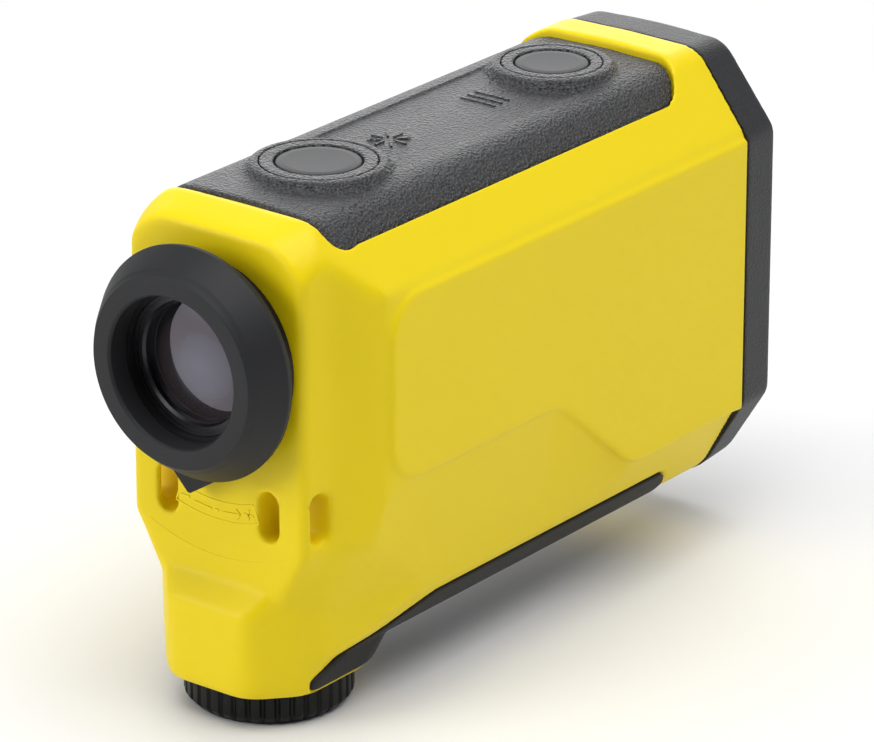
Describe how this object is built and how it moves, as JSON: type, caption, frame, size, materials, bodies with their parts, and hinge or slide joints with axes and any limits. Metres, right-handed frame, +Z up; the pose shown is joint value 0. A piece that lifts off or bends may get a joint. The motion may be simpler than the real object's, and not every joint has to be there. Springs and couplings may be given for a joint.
{
  "type": "laser rangefinder",
  "caption": "Handheld laser rangefinder monocular: yellow casing, dark front bezel, textured top panel with two push buttons, turning eyecup and ribbed battery cap.",
  "frame": {"origin": "On the surface that the instrument stands on, below the centre of its bounding box.", "axes": "+Y points at the target, +X to the user's right, +Z up through the buttons."},
  "size_m": [0.042, 0.11, 0.0744],
  "materials": {
    "casing": "satin moulded plastic, fine texture",
    "bezel": "fine grained",
    "top_cover": "leather-grained",
    "button_plastic": "smooth satin",
    "soft_strip": "matt elastomer",
    "eyecup_rubber": "matt",
    "cap_plastic": "satin",
    "black_plastic": "matt",
    "black_metal": "black anodised",
    "seal_rubber": "smooth",
    "optical_glass": "polished",
    "coated_glass": "polished, coated",
    "display_glass": "flat",
    "window_plastic": "hard coated",
    "circuit_board": "solder mask",
    "chip_plastic": "moulded",
    "flex_film": "polyimide film",
    "switch_metal": "stamped",
    "contact_metal": "nickel plated",
    "cell_metal": "sleeved can",
    "screw_steel": "zinc plated"
  },
  "bodies": {
    "root": {"main_housing": "casing", "front_bezel": "bezel", "front_gasket": "seal_rubber", "objective_lens": "optical_glass", "objective_retaining_ring": "black_metal", "receiver_lens": "optical_glass", "receiver_retaining_ring": "black_metal", "top_panel": "top_cover", "measure_button_ring": "top_cover", "mode_button_ring": "top_cover", "bottom_strip": "soft_strip", "battery_cell": "cell_metal", "battery_top_contact": "contact_metal", "eyepiece_barrel": "black_plastic", "eyepiece_seal": "seal_rubber", "optical_chassis": "black_plastic", "prism_rear": "optical_glass", "prism_front": "optical_glass", "internal_display": "display_glass", "main_board": "circuit_board", "board_components": "chip_plastic", "button_board": "circuit_board", "tactile_switches": "switch_metal", "button_flex": "flex_film", "receiver_detector": "chip_plastic", "laser_diode": "contact_metal", "display_window": "window_plastic", "display_frame": "black_plastic", "display_panel": "display_glass", "chassis_screws": "screw_steel", "button_board_screws": "screw_steel", "main_board_screws": "screw_steel"},
    "measure_button": {"measure_button": "button_plastic"},
    "mode_button": {"mode_button": "button_plastic"},
    "diopter_ring": {"diopter_ring": "black_plastic", "eyecup": "eyecup_rubber"},
    "eyepiece_cell": {"lens_cell": "black_metal", "eye_lens": "coated_glass", "eye_lens_retaining_ring": "black_metal", "field_lens": "optical_glass"},
    "cap_carrier": {"battery_cap_contact": "contact_metal"},
    "battery_cap": {"battery_cap": "cap_plastic", "battery_cap_seal": "seal_rubber"}
  },
  "joints": [
    {"name": "measure_press", "type": "slide", "parent": "root", "child": "measure_button", "axis": [0, 0, -1], "range_m": [0, 0.0006], "stiffness_N_per_m": 2500, "springref_m": -0.0003},
    {"name": "mode_press", "type": "slide", "parent": "root", "child": "mode_button", "axis": [0, 0, -1], "range_m": [0, 0.0006], "stiffness_N_per_m": 2500, "springref_m": -0.0003},
    {"name": "diopter_turn", "type": "hinge", "parent": "root", "child": "diopter_ring", "pos_m": [0, -0.05, 0.0533], "axis": [0, 1, 0], "range_deg": [-27, 13]},
    {"name": "lens_cell_slide", "type": "slide", "parent": "root", "child": "eyepiece_cell", "axis": [0, -1, 0], "range_m": [-0.0007, 0.00035]},
    {"name": "cap_travel", "type": "slide", "parent": "root", "child": "cap_carrier", "axis": [0, 0, -1], "range_m": [0, 0.0026]},
    {"name": "cap_turn", "type": "hinge", "parent": "cap_carrier", "child": "battery_cap", "pos_m": [0, -0.0353, 0.003], "axis": [0, 0, -1], "range_deg": [0, 720]}
  ],
  "couplings": [
    {"joint": "lens_cell_slide", "follows": "diopter_turn", "m_per_rad": 0.0014324},
    {"joint": "cap_travel", "follows": "cap_turn", "m_per_rad": 0.00019894}
  ]
}
